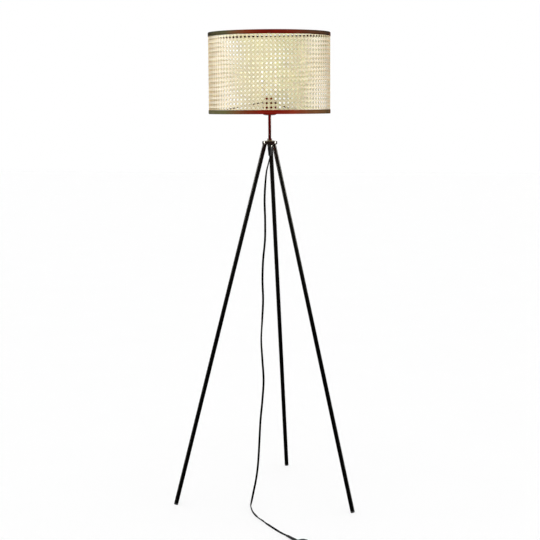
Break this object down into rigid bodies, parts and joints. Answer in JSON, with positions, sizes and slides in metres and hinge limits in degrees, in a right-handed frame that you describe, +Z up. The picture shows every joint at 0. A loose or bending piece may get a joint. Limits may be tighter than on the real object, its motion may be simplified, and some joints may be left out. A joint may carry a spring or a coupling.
{
  "type": "tripod floor lamp",
  "caption": "Tripod floor lamp with an open woven cane drum shade on a wire spider, a thin stem, a small round hub, slim splayed legs, and a flat cord with foot switch and plug.",
  "frame": {"origin": "on the floor, at the middle of the box round the lamp without its cord", "axes": "+Z up, +Y along the back leg, +X to the lamp's right seen from the front"},
  "size_m": [0.6016, 1.0197, 1.547],
  "materials": {
    "cane": "woven rattan cane, open octagonal weave, satin",
    "tape": "dark binding tape with a slight sheen",
    "wire": "dark satin paint",
    "black_metal": "glossy black paint",
    "nickel": "nickel plate",
    "black_plastic": "fine satin",
    "ceramic": "unglazed white ceramic",
    "brass": "bright",
    "gloss_plastic": "polished",
    "white_plastic": "satin white",
    "board": "white circuit board",
    "milk": "opal diffuser, lit from inside",
    "cord_skin": "smooth PVC sheath",
    "core_brown": "PVC",
    "core_blue": "PVC",
    "steel": "plain",
    "rubber": "dull"
  },
  "bodies": {
    "lamp": {"shade_cane": "cane", "shade_trim_top": "tape", "shade_trim_bottom": "tape", "shade_ring_top": "wire", "shade_spider": "wire", "holder_cup": "black_metal", "holder_lock_nut": "nickel", "holder_cap": "black_plastic", "holder_shell": "black_plastic", "shade_clamp_ring": "black_plastic", "holder_insert": "ceramic", "holder_contact": "brass", "holder_screw_shell": "nickel", "bulb_tip": "nickel", "bulb_insulator": "gloss_plastic", "bulb_screw_cap": "nickel", "bulb_housing": "white_plastic", "bulb_led_board": "board", "bulb_globe": "milk", "stem_tube": "black_metal", "stem_collar": "black_metal", "hub_plate": "black_metal", "hub_washer": "nickel", "hub_nut": "nickel", "cord_grip": "black_plastic", "inner_lead": "cord_skin", "core_live": "core_brown", "core_neutral": "core_blue", "leg_tube_1": "black_metal", "leg_insert_1": "steel", "leg_stud_1": "steel", "foot_cap_1": "rubber", "leg_tube_2": "black_metal", "leg_insert_2": "steel", "leg_stud_2": "steel", "foot_cap_2": "rubber", "leg_tube_3": "black_metal", "leg_insert_3": "steel", "leg_stud_3": "steel", "foot_cap_3": "rubber", "cord_lead": "cord_skin", "switch_base": "black_plastic", "switch_cover": "black_plastic", "switch_spring": "steel", "switch_block": "white_plastic", "switch_screw_1": "steel", "switch_screw_2": "steel", "switch_nose": "black_plastic", "switch_tail": "black_plastic", "cord_tail": "cord_skin", "cord_coil": "cord_skin", "cord_tie": "rubber", "plug_body": "gloss_plastic", "plug_pin_1": "brass", "plug_pin_2": "brass"},
    "foot_button": {"switch_button": "gloss_plastic"}
  },
  "joints": [
    {"name": "foot_button_press", "type": "slide", "parent": "lamp", "child": "foot_button", "axis": [0, 0, -1], "range_m": [0, 0.003], "stiffness_N_per_m": 800, "springref_m": -0.002, "deforming": ["switch_spring"]}
  ]
}
